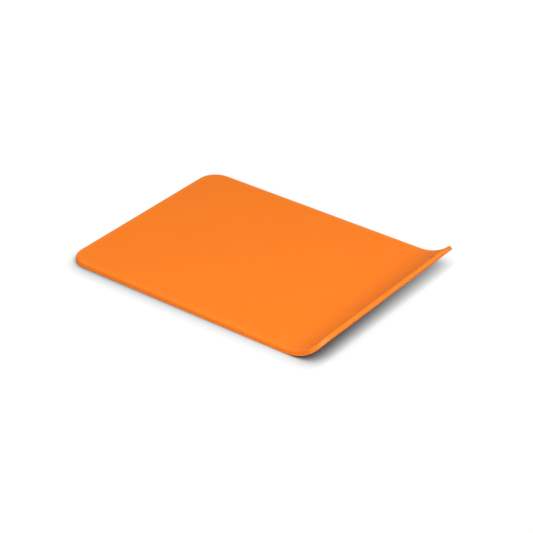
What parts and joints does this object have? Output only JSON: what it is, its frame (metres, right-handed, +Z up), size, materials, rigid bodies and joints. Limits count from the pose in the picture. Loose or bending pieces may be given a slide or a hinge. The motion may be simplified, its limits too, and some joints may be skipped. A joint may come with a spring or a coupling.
{
  "type": "cutting mat",
  "caption": "Flexible cutting mat with rounded corners and a short end curled up into a lip: a firm cutting layer bonded to a soft grip backing, bending up across its middle.",
  "frame": {"origin": "middle of the mat's footprint, on the underside that rests on the worktop", "axes": "+X along the mat towards the curled lip, +Y across its width, +Z up from the worktop"},
  "size_m": [0.3424, 0.25, 0.0298],
  "materials": {
    "cutting_layer": "satin, very fine moulded grain",
    "grip_backing": "matte, soft to the touch"
  },
  "bodies": {
    "lip_half": {"cutting_layer_lip_half": "cutting_layer", "grip_backing_lip_half": "grip_backing"},
    "free_half": {"cutting_layer_free_half": "cutting_layer", "grip_backing_free_half": "grip_backing"}
  },
  "joints": [
    {"name": "mat_bend", "type": "hinge", "parent": "lip_half", "child": "free_half", "pos_m": [-0.02442, 0, 0.005], "axis": [0, 1, 0], "range_deg": [0, 60], "stiffness_Nm_per_rad": 1.2}
  ]
}
